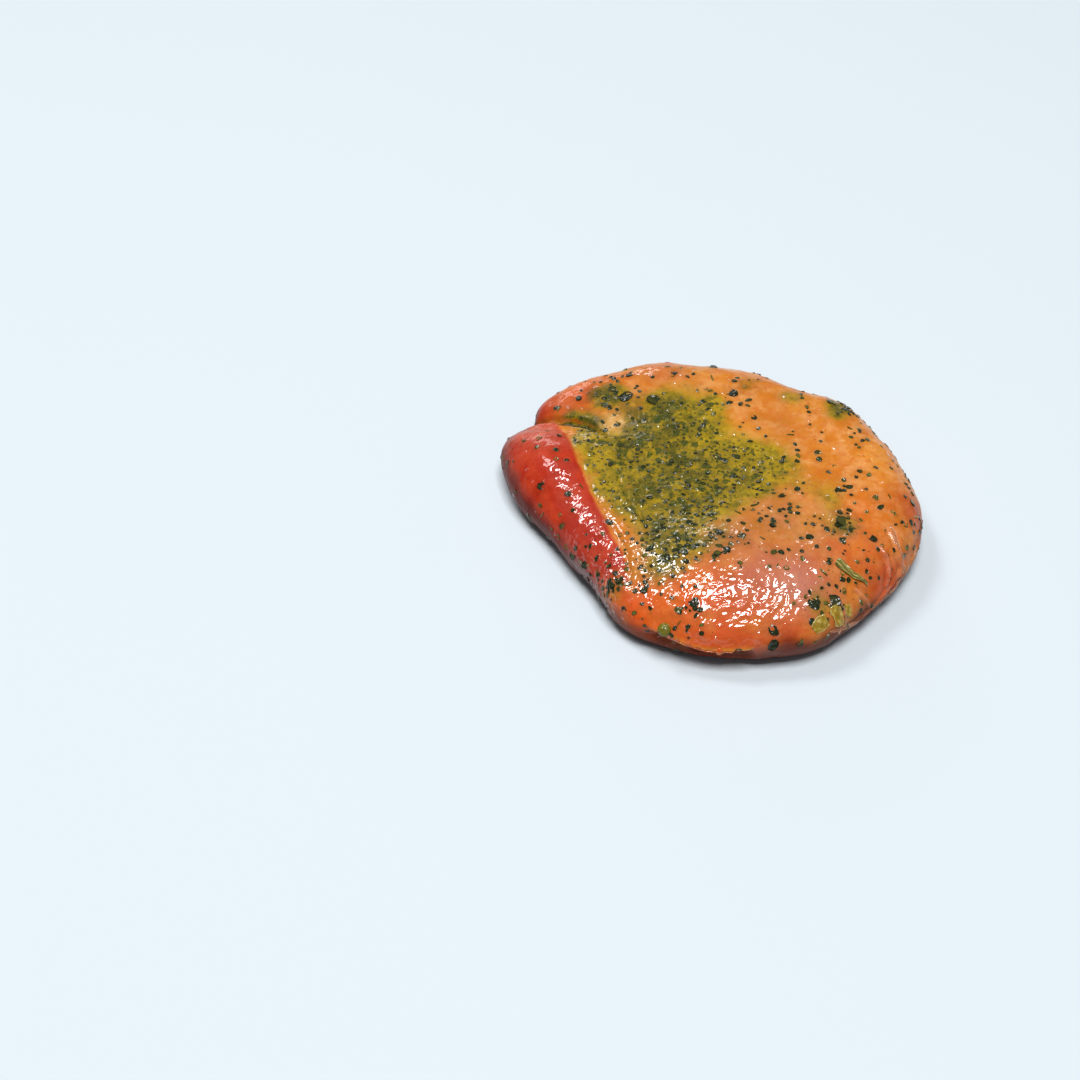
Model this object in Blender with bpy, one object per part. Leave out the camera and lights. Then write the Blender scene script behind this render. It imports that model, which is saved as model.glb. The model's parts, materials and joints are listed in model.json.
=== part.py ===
"""Raw pork chop: one boneless loin steak in a herb marinade, lying flat on its cut face.

The chop is one piece of meat, so it is one solid. The origin is the centre of its
bounding box's bottom, +X runs along its longest side, +Y towards its back edge and +Z up.

The form is grown as a stack of closed loops: a flat underside, a side wall that bulges
out past it, a round shoulder, and a top that rises and dips where the muscles lie.
Bearings are degrees anticlockwise from +X, and sizes are in millimetres until the last
step, which brings the body to its driving sizes in metres.
"""

import math

import bmesh
import bpy

# Driving sizes of the whole steak, in millimetres.
LENGTH = 120.0  # side to side, along X
DEPTH = 114.0  # front to back, along Y
THICKNESS = 22.0  # floor to the highest point

MEAN_RADIUS = 56.0  # of the outline before its lobes are added
WAIST_HEIGHT = 8.0  # where the side wall bulges furthest
TOP_HEIGHT = 18.6  # of the top face beside the shoulder
DOME = 2.0  # how much the middle of the top stands above that

# How finely the solid is faceted.
BEARINGS = 108
UNDERCUT_STEPS = 3
SHOULDER_STEPS = 6
TOP_STEPS = 12

METRES = 0.001

# Where the outline leaves the mean circle: bearing, reach outwards, half width in degrees.
OUTLINE_LOBES = {
    "right_end": (-12.0, 2.4, 20.0),
    "back_right_corner": (41.0, 2.2, 8.0),
    "back_right_flat": (58.0, -2.6, 12.0),
    "back_middle": (104.0, 2.0, 18.0),
    "back_left_end": (156.0, 12.0, 36.0),
    "cleft_notch": (147.5, -6.0, 5.0),
    "left_cut_side": (-164.0, -13.0, 37.0),
    "left_front_flat": (-136.0, -3.0, 13.0),
    "front_flat": (-107.0, -1.2, 10.0),
    "front_right": (-67.0, 2.2, 14.0),
}

# How far in from the outline the shoulder starts: bearing, extra width, half width in degrees.
SHOULDER_WIDTH = 12.0
SHOULDER_LOBES = {
    "left_muscle": (-155.0, 8.0, 34.0),
    "front_bulge": (-82.0, 11.0, 32.0),
}

# How far the underside draws back from the outline.
UNDERCUT = 4.5
UNDERCUT_LOBES = {
    "front_lip": (-78.0, 3.0, 30.0),
    "left_muscle": (-165.0, 2.0, 30.0),
}

# Soft rises and hollows of the top face: x, y, radius, height.
TOP_SPOTS = {
    "herb_hollow": (-8.0, 8.0, 20.0, -1.9),
    "front_bulge": (4.0, -37.0, 16.0, 2.8),
    "right_bump": (27.0, -30.0, 8.0, 0.9),
    "back_left_lobe": (-45.0, 35.0, 12.0, -3.6),
    "back_rim_left": (-14.0, 44.0, 10.0, 1.3),
    "back_rim_right": (26.0, 38.0, 12.0, 0.9),
    "left_muscle": (-46.0, 8.0, 11.0, 1.5),
    "left_muscle_front": (-37.0, -20.0, 9.0, 1.5),
    "front_valley": (-20.0, -42.0, 7.0, -1.4),
}

# Creases between muscles: the points that each runs through, half width, depth.
TOP_CREASES = {
    "fat_seam": ([(-41.0, 25.0), (-36.0, 7.0), (-29.0, -13.0), (-23.0, -28.0), (-22.0, -39.0)], 4.2, 1.1),
    "cleft": ([(-58.0, 30.0), (-46.0, 28.0), (-33.0, 22.0), (-23.0, 23.0)], 4.6, 2.6),
}


def bell(distance, half_width):
    """A smooth bump of height 1 that fades out over the given half width."""
    return math.exp(-((distance / half_width) ** 2))


def turn_between(bearing, other):
    """The unsigned angle between two bearings, in degrees."""
    return abs((bearing - other + 180.0) % 360.0 - 180.0)


def lobed(base, lobes, bearing):
    """A base size with each lobe's share added at this bearing."""
    return base + sum(
        reach * bell(turn_between(bearing, centre), half_width)
        for centre, reach, half_width in lobes.values()
    )


def distance_to_line(x, y, points):
    """The distance from (x, y) to the nearest stretch of a line through the points."""
    nearest = math.inf
    for (x0, y0), (x1, y1) in zip(points, points[1:]):
        run_x, run_y = x1 - x0, y1 - y0
        along = ((x - x0) * run_x + (y - y0) * run_y) / (run_x**2 + run_y**2)
        along = min(1.0, max(0.0, along))
        nearest = min(nearest, math.hypot(x - x0 - along * run_x, y - y0 - along * run_y))
    return nearest


def top_height(x, y):
    """The height of the top face above (x, y), before the shoulder rounds it off."""
    height = TOP_HEIGHT + DOME * (1.0 - (math.hypot(x, y) / MEAN_RADIUS) ** 2)
    for spot_x, spot_y, radius, rise in TOP_SPOTS.values():
        height += rise * bell(math.hypot(x - spot_x, y - spot_y), radius)
    for points, half_width, depth in TOP_CREASES.values():
        height -= depth * bell(distance_to_line(x, y, points), half_width)
    return height


def undercut_point(bearing, share):
    """A point below the waist: share runs from 0 at the underside to 1 at the waist."""
    swing = math.radians(90.0 * share)
    undercut = lobed(UNDERCUT, UNDERCUT_LOBES, bearing)
    radius = lobed(MEAN_RADIUS, OUTLINE_LOBES, bearing) - undercut * (1.0 - math.sin(swing))
    return radius, WAIST_HEIGHT * (1.0 - math.cos(swing))


def shoulder_point(bearing, share):
    """A point on the round shoulder: share runs from 0 at the waist to 1 at the top face."""
    swing = math.radians(90.0 * share)
    shoulder = lobed(SHOULDER_WIDTH, SHOULDER_LOBES, bearing)
    radius = lobed(MEAN_RADIUS, OUTLINE_LOBES, bearing) - shoulder * (1.0 - math.cos(swing))
    return radius, math.sin(swing)


def top_point(bearing, share):
    """A point on the top face: share runs from 0 at the shoulder to 1 at the middle."""
    radius, lift = shoulder_point(bearing, 1.0)
    return radius * (1.0 - share), lift


def place(bearing, stretch, share):
    """The place in space of one point of a loop, in millimetres."""
    turn = math.radians(bearing)
    if stretch == "undercut":
        radius, height = undercut_point(bearing, share)
        return radius * math.cos(turn), radius * math.sin(turn), height
    radius, lift = (shoulder_point if stretch == "shoulder" else top_point)(bearing, share)
    x, y = radius * math.cos(turn), radius * math.sin(turn)
    return x, y, WAIST_HEIGHT + lift * (top_height(x, y) - WAIST_HEIGHT)


def loops():
    """Every loop from the underside's edge to the middle of the top, as stretch and share."""
    for step in range(UNDERCUT_STEPS):
        yield "undercut", step / UNDERCUT_STEPS
    for step in range(SHOULDER_STEPS):
        yield "shoulder", step / SHOULDER_STEPS
    for step in range(TOP_STEPS):
        yield "top", step / TOP_STEPS


def move_loop(verts, stretch, share):
    """Moves a loop's points to a new height and reach, each along its own bearing."""
    for vert in verts:
        bearing = math.degrees(math.atan2(vert.co.y, vert.co.x))
        vert.co = place(bearing, stretch, share)


def grow_body(bm):
    """Grows the closed body: a filled floor loop, extruded loop by loop, and a closed top."""
    floor = bmesh.ops.create_circle(bm, segments=BEARINGS, radius=MEAN_RADIUS)["verts"]
    rim = bm.edges[:]
    stretches = list(loops())
    move_loop(floor, *stretches[0])
    bmesh.ops.contextual_create(bm, geom=rim)
    for stretch, share in stretches[1:]:
        grown = bmesh.ops.extrude_edge_only(bm, edges=rim)["geom"]
        rim = [item for item in grown if isinstance(item, bmesh.types.BMEdge)]
        move_loop([item for item in grown if isinstance(item, bmesh.types.BMVert)], stretch, share)
    cap = bmesh.ops.contextual_create(bm, geom=rim)["faces"]
    middle = bmesh.ops.poke(bm, faces=cap)["verts"][0]
    middle.co = (0.0, 0.0, top_height(0.0, 0.0))
    bmesh.ops.recalc_face_normals(bm, faces=bm.faces)


def fit_to_size(bm):
    """Centres the body on its box's bottom and brings it to its length, depth and thickness."""
    lows = [min(vert.co[axis] for vert in bm.verts) for axis in range(3)]
    highs = [max(vert.co[axis] for vert in bm.verts) for axis in range(3)]
    sizes = (LENGTH, DEPTH, THICKNESS)
    origin = ((lows[0] + highs[0]) / 2, (lows[1] + highs[1]) / 2, lows[2])
    for vert in bm.verts:
        for axis in range(3):
            scale = sizes[axis] / (highs[axis] - lows[axis])
            vert.co[axis] = (vert.co[axis] - origin[axis]) * scale * METRES


def marinated_meat():
    """Raw pork under an orange, oily marinade: wet, so it is glossy."""
    material = bpy.data.materials.new("marinated_meat")
    material.use_nodes = True
    shader = material.node_tree.nodes["Principled BSDF"]
    shader.inputs["Base Color"].default_value = (0.60, 0.18, 0.06, 1.0)
    shader.inputs["Roughness"].default_value = 0.25
    shader.inputs["Metallic"].default_value = 0.0
    return material


def pork_chop():
    """The whole chop as one object."""
    bm = bmesh.new()
    grow_body(bm)
    fit_to_size(bm)
    mesh = bpy.data.meshes.new("pork_chop")
    bm.to_mesh(mesh)
    bm.free()
    mesh.shade_smooth()
    mesh.materials.append(marinated_meat())
    chop = bpy.data.objects.new("pork_chop", mesh)
    bpy.context.scene.collection.objects.link(chop)
    return chop


def clear_scene():
    """Empties the scene that the script starts in."""
    for obj in list(bpy.data.objects):
        bpy.data.objects.remove(obj, do_unlink=True)


clear_scene()
pork_chop()
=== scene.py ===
# %% [markdown]
# # A raw pork chop in a herb and oil marinade
#
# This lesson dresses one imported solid, a boneless pork chop, so that it looks like wet, raw
# meat. The solid already has the right size and form. What it lacks is what makes food look
# real: soft muscle relief, red lean meat beside orange oil, an olive pool of chopped herbs,
# and a wet skin that breaks the light into small bright shapes.

# %% Load the frame
import json
import math

import bpy
import numpy as np
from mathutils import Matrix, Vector, noise
from mathutils.bvhtree import BVHTree
from mathutils.kdtree import KDTree

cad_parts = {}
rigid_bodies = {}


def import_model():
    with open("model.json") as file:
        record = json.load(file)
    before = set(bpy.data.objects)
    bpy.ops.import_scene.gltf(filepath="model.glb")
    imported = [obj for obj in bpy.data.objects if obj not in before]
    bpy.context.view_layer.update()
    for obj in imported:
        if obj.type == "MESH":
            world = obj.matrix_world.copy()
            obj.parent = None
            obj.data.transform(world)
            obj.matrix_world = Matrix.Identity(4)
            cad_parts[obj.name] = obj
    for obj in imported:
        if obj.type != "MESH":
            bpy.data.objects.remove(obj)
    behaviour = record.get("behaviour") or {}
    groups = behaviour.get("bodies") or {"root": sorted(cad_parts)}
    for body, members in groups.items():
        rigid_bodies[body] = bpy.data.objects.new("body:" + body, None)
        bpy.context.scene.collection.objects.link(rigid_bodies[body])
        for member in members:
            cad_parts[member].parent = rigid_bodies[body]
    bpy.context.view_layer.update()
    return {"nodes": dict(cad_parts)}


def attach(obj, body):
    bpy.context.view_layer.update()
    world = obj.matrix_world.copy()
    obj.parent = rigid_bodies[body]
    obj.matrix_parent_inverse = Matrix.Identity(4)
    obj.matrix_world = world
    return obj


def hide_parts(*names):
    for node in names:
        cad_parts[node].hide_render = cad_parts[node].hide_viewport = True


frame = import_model()
MM = 0.001

# %% [markdown]
# ## Helpers
#
# Operators act on whatever is selected, so `only` clears the selection before each step, and
# `edit_faces` picks faces by where they lie or face. `finish_with` adds one modifier and applies
# it at once, as one would by hand.

# %% Helpers for objects
def only(obj=None):
    """Deselects everything, then selects this object, if any, and makes it active."""
    bpy.ops.object.select_all(action="DESELECT")
    if obj:
        obj.select_set(True)
        bpy.context.view_layer.objects.active = obj


def new_object(name, data):
    """Puts a new object with this data into the scene."""
    made = bpy.data.objects.new(name, data)
    bpy.context.scene.collection.objects.link(made)
    return made


def edit_all():
    """Enters edit mode with the whole active mesh selected."""
    bpy.ops.object.mode_set(mode="EDIT")
    bpy.ops.mesh.select_all(action="SELECT")


def leave_edit():
    """Returns to object mode."""
    bpy.ops.object.mode_set(mode="OBJECT")


def edit_faces(obj, wanted):
    """Enters edit mode with only the wanted faces selected. wanted(face) is true or false."""
    bpy.ops.object.mode_set(mode="EDIT")
    bpy.ops.mesh.select_mode(type="FACE")
    bpy.ops.mesh.select_all(action="DESELECT")
    leave_edit()
    for face in obj.data.polygons:
        face.select = wanted(face)
    bpy.ops.object.mode_set(mode="EDIT")


def finish_with(obj, kind, **settings):
    """Adds one modifier with its settings and applies it."""
    only(obj)
    modifier = obj.modifiers.new(kind.title(), kind)
    for name, value in settings.items():
        setattr(modifier, name, value)
    bpy.ops.object.modifier_apply(modifier=modifier.name)


def points_of(obj):
    """The mesh's points in millimetres, one row for each."""
    found = np.empty(len(obj.data.vertices) * 3)
    obj.data.vertices.foreach_get("co", found)
    return found.reshape(-1, 3) / MM


def normals_of(obj):
    """The direction that each point of the mesh faces."""
    found = np.empty(len(obj.data.vertices) * 3)
    obj.data.vertex_normals.foreach_get("vector", found)
    return found.reshape(-1, 3)


def move_points(obj, points):
    """Puts the mesh's points at these places, in millimetres."""
    obj.data.vertices.foreach_set("co", (points * MM).ravel())
    obj.data.update()


def paint(obj, name, values):
    """Stores one number for each point, which a material reads by this name."""
    attribute = obj.data.attributes.new(name, "FLOAT", "POINT")
    attribute.data.foreach_set("value", np.ascontiguousarray(values, np.float32))


# %% [markdown]
# The soft shapes below are mostly made of three functions: a bell that fades with distance, a
# ramp that rises smoothly between two values, and a smooth line through a few points.

# %% Helpers for soft shapes
def bell(distance, half_width):
    """1 at distance 0, fading smoothly to nothing past about twice the half width."""
    return np.exp(-((distance / half_width) ** 2))


def ramp(value, low, high):
    """0 below low, 1 above high, and a smooth rise between."""
    share = np.clip((value - low) / (high - low), 0.0, 1.0)
    return share * share * (3.0 - 2.0 * share)


def rough(points, size, octaves=3, seed=0.0):
    """Fractal noise of about -1 to 1 at each point. The size of its patches is in mm."""
    places = points / size + np.array([seed, seed * 0.7, seed * 1.3])
    found = [noise.fractal(Vector(place), 1.0, 2.0, octaves) for place in places]
    return np.array(found)


def smooth_line(corners, steps=10):
    """A smooth curve through the corners, as one row of points."""
    corners = np.array(corners, float)
    ends = (2 * corners[0] - corners[1], 2 * corners[-1] - corners[-2])
    knots = np.vstack([ends[0], corners, ends[1]])
    share = np.linspace(0.0, 1.0, steps, endpoint=False)[:, None]
    pieces = []
    for a, b, c, d in zip(knots, knots[1:], knots[2:], knots[3:]):
        bend = (2 * a - 5 * b + 4 * c - d) * share**2 + (3 * b - a - 3 * c + d) * share**3
        pieces.append(0.5 * (2 * b + (c - a) * share + bend))
    return np.vstack([*pieces, corners[-1]])


def beside(points, line):
    """How far each point is from a line, which side it is on, and how far along (0 to 1)."""
    dims = line.shape[1]
    spots = points[:, :dims]
    nearest = np.full(len(spots), np.inf)
    side = np.zeros(len(spots))
    along = np.zeros(len(spots))
    for step, (start, end) in enumerate(zip(line, line[1:])):
        run = end - start
        share = np.clip((spots - start) @ run / (run @ run), 0.0, 1.0)
        away = spots - start - share[:, None] * run
        distance = np.linalg.norm(away, axis=1)
        closer = distance < nearest
        nearest[closer] = distance[closer]
        turn = run[0] * away[:, 1] - run[1] * away[:, 0]
        side[closer] = np.sign(turn[closer])
        along[closer] = (step + share[closer]) / (len(line) - 1)
    return nearest, side, along


def fade_ends(along, share):
    """1 along the middle of a line and 0 at both of its ends."""
    return ramp(along, 0.0, share) * ramp(1.0 - along, 0.0, share)


def patches(points, spots):
    """How much a set of soft round patches (x, y, radius, strength) covers each point."""
    bare = np.ones(len(points))
    for x, y, radius, strength in spots:
        distance = np.hypot(points[:, 0] - x, points[:, 1] - y)
        bare *= 1.0 - strength * bell(distance, radius)
    return 1.0 - bare


def finder_of(points):
    """A search tree that finds the nearest of these points to a place."""
    finder = KDTree(len(points))
    for number, point in enumerate(points):
        finder.insert(Vector(point), number)
    finder.balance()
    return finder


# %% [markdown]
# ## Camera, floor and light
#
# The camera looks down at 45 degrees, with the chop right of the middle. The floor is plain
# and pale. Wet meat is mostly judged by its highlights, so the key light is a bright softbox
# almost overhead: the top of the chop mirrors the dim studio behind it and keeps its colour,
# and only the slopes that face the viewer catch the box.

# %% Camera
camera_data = bpy.data.cameras.new("camera")
camera_data.sensor_width = 36.0
camera_data.lens = 59.0
camera_data.clip_start, camera_data.clip_end = 0.01, 20.0
camera = new_object("camera", camera_data)
camera.location = (-0.0485, -0.3667, 0.3594)
camera.rotation_euler = (math.radians(45.0), 0.0, 0.0)
bpy.context.scene.camera = camera
bpy.context.scene.view_settings.view_transform = "Standard"
print("camera at", tuple(camera.location))

# %% [markdown]
# Colours are written as on a screen, and `linear` turns them into what shaders want. `add` makes a
# node and links it in the same line. A Map Range's limits are its inputs 1 to 4, and it spreads a
# value between them. `layer` is the painter's step: one colour over another, in some share.

# %% Colours and nodes
SMOOTH = {"interpolation_type": "SMOOTHSTEP"}
COLOURS = {"data_type": "RGBA"}
MINUS, TIMES, TIMES_PLUS = ({"operation": name} for name in ("SUBTRACT", "MULTIPLY", "MULTIPLY_ADD"))


def linear(code):
    """A linear colour from an sRGB hex code such as '#e28936'."""
    channels = [int(code[i : i + 2], 16) / 255 for i in (1, 3, 5)]
    return (*[c / 12.92 if c <= 0.04045 else ((c + 0.055) / 1.055) ** 2.4 for c in channels], 1.0)


def connect(tree, node, **inputs):
    """Fills or links a node's inputs, by name or, as _0 for the first, by number."""
    for name, value in inputs.items():
        socket = node.inputs[int(name[1:]) if name[0] == "_" else name.replace("_", " ")]
        if isinstance(value, str):
            value = linear(value)
        if isinstance(value, bpy.types.Node):
            value = next(output for output in value.outputs if output.enabled)
        if isinstance(value, bpy.types.NodeSocket):
            tree.links.new(value, socket)
        else:
            socket.default_value = value


def add(tree, kind, settings=None, **inputs):
    """Adds a node with its settings and its inputs."""
    made = tree.nodes.new("ShaderNode" + kind)
    for name, value in (settings or {}).items():
        setattr(made, name, value)
    connect(tree, made, **inputs)
    return made


def layer(tree, below, above, *shares):
    """Lays one colour over another. It shows as much as the product of its shares."""
    share = shares[0]
    for factor in shares[1:]:
        share = add(tree, "Math", TIMES, _0=share, _1=factor)
    return add(tree, "Mix", COLOURS, _0=share, _6=below, _7=above)


def new_material(name, **sockets):
    """A material with its tree and Principled shader, and the shader's fixed values."""
    material = bpy.data.materials.new(name)
    material.use_nodes = True
    shader = material.node_tree.nodes["Principled BSDF"]
    connect(material.node_tree, shader, **sockets)
    return material, material.node_tree, shader


# %% Floor
bpy.ops.mesh.primitive_plane_add(size=6.0)
floor = bpy.context.active_object
floor.name = "studio_floor"
paper = new_material("seamless_paper", Base_Color="#bdc5ca", Roughness=0.9, Specular_IOR_Level=0.1)
floor.data.materials.append(paper[0])

# %% Studio light
world = bpy.data.worlds.new("studio")
world.use_nodes = True
connect(world.node_tree, world.node_tree.nodes["Background"], Color="#e9f1f8", Strength=0.20)
bpy.context.scene.world = world


def softbox(name, direction, distance, size, power):
    """A square or oblong area light that faces the chop from one direction."""
    data = bpy.data.lights.new(name, "AREA")
    data.shape = "RECTANGLE"
    data.size, data.size_y = size
    data.energy = power
    box = new_object(name, data)
    toward = Vector(direction).normalized()
    box.location = toward * distance
    box.rotation_euler = toward.to_track_quat("Z", "Y").to_euler()


softbox("softbox_over", (0.02, -0.20, 0.98), 2.4, (1.0, 0.95), 68.0)
softbox("softbox_left", (-0.44, 0.36, 0.82), 2.4, (0.6, 0.6), 21.0)
softbox("softbox_back", (-0.2, 1.0, 0.28), 2.4, (1.2, 0.3), 6.0)
print("studio ready")

# %% [markdown]
# ## The meat's body
#
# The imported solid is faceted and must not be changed, so the body starts from a copy. Its
# doubled points are merged, a Subdivision Surface rounds the facets, and a voxel remesh turns
# the whole skin into even little squares under half a millimetre across. Those squares are
# fine enough to carry creases and wrinkles as real shape. The flat underside needs no such
# detail, so its faces are thinned out afterwards.

# %% Copy, round and remesh
VOXEL = 0.47

cad_chop = frame["nodes"]["pork_chop"]
meat = new_object("chop_meat", cad_chop.data.copy())
only(meat)
edit_all()
bpy.ops.mesh.remove_doubles(threshold=0.01 * MM)
leave_edit()
finish_with(meat, "SUBSURF", levels=1, render_levels=1)
finish_with(meat, "REMESH", mode="VOXEL", voxel_size=VOXEL * MM, use_smooth_shade=True)
finish_with(meat, "SMOOTH", factor=0.5, iterations=24)
print("body:", len(meat.data.vertices), "points")

# %% Thin out the flat underside
edit_faces(meat, lambda face: face.center.z < 0.15 * MM and face.normal.z < -0.95)
bpy.ops.mesh.decimate(ratio=0.04)
leave_edit()
print("underside thinned:", len(meat.data.vertices), "points left")

# %% [markdown]
# ## Creases and muscles
#
# A chop is several muscles held together. A fat seam divides the red lobe at the left from
# the rest, a cleft runs in from the back left, at the front a thin skin overhangs a dark gap,
# and silverskin lies in folds round the right-hand side. Each is a line on the meat, and
# pushing the skin in or out along it carves the shape, as a sculpting brush would.

# %% Lines on the meat, in mm from the chop's middle
FAT_SEAM = smooth_line([
    (-45, 33), (-42, 26), (-38, 9), (-33.5, -7), (-28.5, -21), (-25, -30), (-24, -42),
])
INNER_SEAM = smooth_line([(-27, 4), (-24.5, -8), (-21.5, -15), (-19, -24), (-17.5, -33)])
CLEFT = smooth_line([(-62, 34), (-52, 31.5), (-44, 29.5), (-35, 24.5), (-29, 19.5), (-23, 21)])
FRONT_LIP = smooth_line([
    (-22, -49.5, 9.5), (-14, -53.5, 9), (-8, -55.2, 8), (-3, -56.4, 7.8), (3, -57, 8.3), (9, -57, 9),
])
SKIN_FOLDS = [
    smooth_line([
        (57, -10, 10), (55, -19, 10), (51, -28, 10), (45.5, -36, 8), (39, -42.5, 6.5), (29, -50.5, 8),
    ]),
    smooth_line([(47, -19, 18), (49.3, -26, 14.5), (51, -29.5, 10.5), (49, -33, 6)]),
    smooth_line([(44, -27, 18), (46.5, -31, 14), (46, -36, 9)]),
    smooth_line([(36, -40.5, 15.3), (38.5, -41.5, 12.5), (41, -41.5, 8)]),
]


def measure_lines():
    """How each point of the body lies to every line, as it is now."""
    return {
        "fat": beside(body, FAT_SEAM), "inner": beside(body, INNER_SEAM),
        "cleft": beside(body, CLEFT), "lip": beside(body, FRONT_LIP),
        "folds": [beside(body, line) for line in SKIN_FOLDS],
    }


body = points_of(meat)
z = body[:, 2]
facing = normals_of(meat)
lines = measure_lines()
upper = ramp(z, 5.0, 12.0)
print("fat seam passes", round(lines["fat"][0].min(), 2), "mm from the nearest point")

# %% Muscle relief
# Heights and depths in mm.
MUSCLE_SWELL, FIBRE_SWELL = 0.45, 0.20
SEAM_DEPTH, SEAM_DEEPENS = 0.35, 0.4
INNER_DEPTH, INNER_RIDGE = 0.5, 0.3
CLEFT_DEPTH, CLEFT_RIM = 2.0, 1.2
LIP_OVERHANG, LIP_GAP_DEPTH = 0.8, 2.0
FOLD_RIDGE, FOLD_GROOVE = 0.55, 0.45

wobble = rough(body, 3.5, 2, seed=21.0)
push = MUSCLE_SWELL * rough(body, 16.0, 2, seed=3.0) + FIBRE_SWELL * rough(body, 5.0, 3, seed=11.0)
push *= ramp(z, 0.5, 4.0)

gap, _, along = lines["fat"]
seam_depth = SEAM_DEPTH + SEAM_DEEPENS * along
push -= seam_depth * bell(gap + 0.5 * wobble, 1.1) * fade_ends(along, 0.12) * upper

gap, _, along = lines["inner"]
push -= INNER_DEPTH * bell(gap + 0.4 * wobble, 0.6) * fade_ends(along, 0.2) * upper
push += INNER_RIDGE * bell(gap - 1.2, 0.8) * fade_ends(along, 0.2) * upper

gap, side, along = lines["cleft"]
push -= CLEFT_DEPTH * bell(gap + 0.5 * wobble, 1.1) * ramp(1.0 - along, 0.0, 0.3) * upper
push += CLEFT_RIM * bell(gap - 3.0, 2.2) * (side < 0) * ramp(1.0 - along, 0.0, 0.4) * upper

gap, _, along = lines["lip"]
lip_ends = fade_ends(along, 0.12)
lip_height = np.interp(along, np.linspace(0, 1, len(FRONT_LIP)), FRONT_LIP[:, 2])
below_lip = lip_height + 0.5 * wobble - z
overhang = bell(np.maximum(-below_lip, 0.0), 1.3) * (below_lip < 0) * bell(gap, 3.0)
dark_gap = bell(below_lip - 2.4, 1.6) * (below_lip > 0) * bell(np.maximum(gap - 3.0, 0.0), 2.5)
push += LIP_OVERHANG * overhang * lip_ends
push -= LIP_GAP_DEPTH * dark_gap * lip_ends

for gap, _, along in lines["folds"]:
    push += FOLD_RIDGE * bell(gap + 0.3 * wobble, 0.55) * fade_ends(along, 0.1)
    push -= FOLD_GROOVE * bell(gap - 1.3 + 0.3 * wobble, 0.7) * fade_ends(along, 0.1)
body += facing * push[:, None]
body[:, 2] = np.maximum(z, 0.0)
move_points(meat, body)
print("relief from", round(push.min(), 2), "to", round(push.max(), 2), "mm")

# %% [markdown]
# ## The wet wrinkles
#
# The oil lies on the meat as a crinkled film. On the front bulge and along the crest of the
# left lobe it mirrors the softbox, and the wrinkles break that mirror image into small white
# worms and dots. The wrinkles are a network: a noise is near zero along winding lines, and a
# narrow rounded ridge is raised there. Gentle slopes are enough, so ridges about three
# millimetres apart stand only a fifth of one proud. `CALM` keeps one patch smooth.

# %% Wrinkle mask and wrinkles
WRINKLED = [
    (-10, -46, 9, 0.85), (22, -41, 6, 1), (3, -46, 12, 1), (15, -43, 9, 1),
    (-28, -31, 7, 1), (-25, -39, 6, 0.8), (-33, -24, 6, 1), (-36, -16, 4.5, 1),
    (-39.5, -7, 4, 1), (-42, 1, 3.5, 0.9), (-25, -16, 5, 0.35), (-18, -30, 7, 0.5),
    (-12, -22, 7, 0.6), (0, -26, 8, 0.6), (27, -32, 7, 0.8), (34, -21, 5, 1), (-16, 43, 5, 0.35),
    (7, 49, 4, 0.3),
]
CALM = [(-25, -22, 5, 0.75)]
RIDGE_SPACING, SWELL_SPACING = 2.9, 4.5
RIDGE_HEIGHT = 0.19
WRINKLED_ALL_OVER = 0.06

body = points_of(meat)
z = body[:, 2]
facing = normals_of(meat)
wrinkled = patches(body, WRINKLED) * (1.0 - patches(body, CALM)) * ramp(z, 3.0, 8.0)
network = bell(rough(body, RIDGE_SPACING, 1, seed=31.0), 0.3)
network += 0.7 * rough(body, SWELL_SPACING, 1, seed=33.0)
height = RIDGE_HEIGHT * (WRINKLED_ALL_OVER + wrinkled) * network * ramp(z, 0.3, 1.5)
body += facing * height[:, None]
move_points(meat, body)
print("wrinkles on", int((wrinkled > 0.3).sum()), "points")

# %% [markdown]
# ## Where each colour lies
#
# The material needs to know which part of the meat it is on. Each mask is a number from 0 to
# 1 at every point of the mesh, stored as an attribute that the material reads by name. The
# masks are built from the same lines as the relief, so colour and shape stay together.
#
# First come the patches, soft discs of (x, y, radius, strength) in mm. `HERB_POOL` is green-gold
# oil full of herbs, `DEEP_POOL` its darkest places and `YELLOW_OIL` its clear ones. The oil stands
# in drops at `BEADED`, and hardly any is left at `THIN_OIL`.

# %% Patches of oil
HERB_POOL = [
    (-9, 25, 12, 0.95), (-19, 12, 12, 0.95), (-4, 6, 14, 0.95), (9, 1, 11, 0.85), (17, 3, 8, 0.6),
    (-17, -9, 9, 0.9), (-6, -12, 12, 0.9), (-13, -27, 8, 0.75), (-32, 19, 6, 0.9),
    (-29, 36, 6, 0.55), (-27, 35, 4, 0.7), (-31, 31, 2.5, 0.4), (3, 31, 4, 0.5), (38, 26, 4, 0.45),
    (40, 30, 5, 0.6), (26, 33, 5, 0.45), (14, 39, 4, 0.35), (33, -21, 6, 0.5), (32, -8, 8, 0.4),
    (-39, 28, 3, 0.9), (-35.5, 26, 3, 0.9), (-33, 11, 5, 0.8), (-36, 15, 3.5, 0.65),
    (-33, 4, 3.5, 0.6), (-31, -5, 3.5, 0.6), (-29, 1, 5, 0.7), (-26, -9, 5, 0.65),
    (-21, -19, 5, 0.3), (-13, -34, 6, 0.35), (-17, -37, 5, 0.35), (-4, -30, 6, 0.35),
    (26, -47, 5, 0.5), (-29, -38, 5, 0.6),
]
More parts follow.
